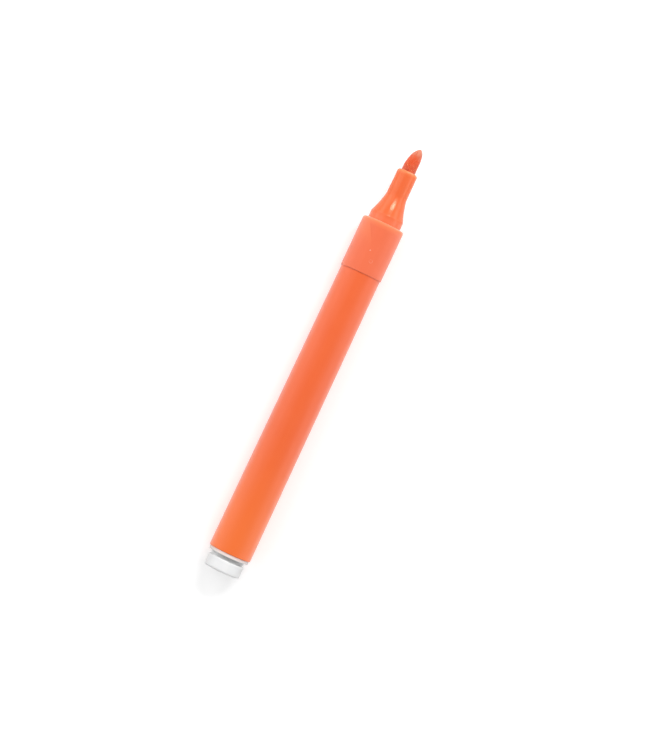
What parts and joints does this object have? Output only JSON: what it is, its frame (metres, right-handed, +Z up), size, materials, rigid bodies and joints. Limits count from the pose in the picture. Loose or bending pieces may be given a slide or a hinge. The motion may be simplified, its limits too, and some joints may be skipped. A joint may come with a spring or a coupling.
{
  "type": "glitter marker",
  "caption": "Round valve-action marker, cap off: drafted barrel with a white tail plug, snap-in collar, flared nose and a leaning bullet nib that presses back against a spring to feed ink.",
  "frame": {"origin": "centre of the bounding box's bottom face, on the table that the marker lies on", "axes": "+X along the marker from tail plug to nib, +Z up from the table"},
  "size_m": [0.1352, 0.013, 0.0129],
  "materials": {
    "barrel_orange": "satin moulded",
    "white_plastic": "frosted moulded",
    "collar_orange": "matt moulded",
    "nose_orange": "gloss moulded",
    "nib_fibre": "bonded fibre soaked with ink",
    "valve_plastic": "natural moulded",
    "seal_rubber": "matt",
    "spring_steel": "drawn wire",
    "ball_steel": "polished"
  },
  "bodies": {
    "marker_body": {"barrel": "barrel_orange", "tail_plug": "white_plastic", "collar": "collar_orange", "nose_cone": "nose_orange", "valve_body": "valve_plastic", "spring_retainer": "valve_plastic", "valve_spring": "spring_steel"},
    "nib": {"nib": "nib_fibre"},
    "valve_plunger": {"valve_stem": "valve_plastic", "valve_seal": "seal_rubber"},
    "mixing_ball": {"mixing_ball": "ball_steel"}
  },
  "joints": [
    {"name": "nib_press", "type": "slide", "parent": "marker_body", "child": "nib", "axis": [-1, 0, 0], "range_m": [0, 0.002], "stiffness_N_per_m": 700, "springref_m": -0.001},
    {"name": "valve_lift", "type": "slide", "parent": "marker_body", "child": "valve_plunger", "axis": [-1, 0, 0], "range_m": [0, 0.002], "deforming": ["valve_spring"]},
    {"name": "ball_roll", "type": "slide", "parent": "marker_body", "child": "mixing_ball", "axis": [1, 0, 0.0038], "range_m": [0, 0.0663]}
  ],
  "couplings": [
    {"joint": "valve_lift", "follows": "nib_press", "ratio": 1}
  ]
}
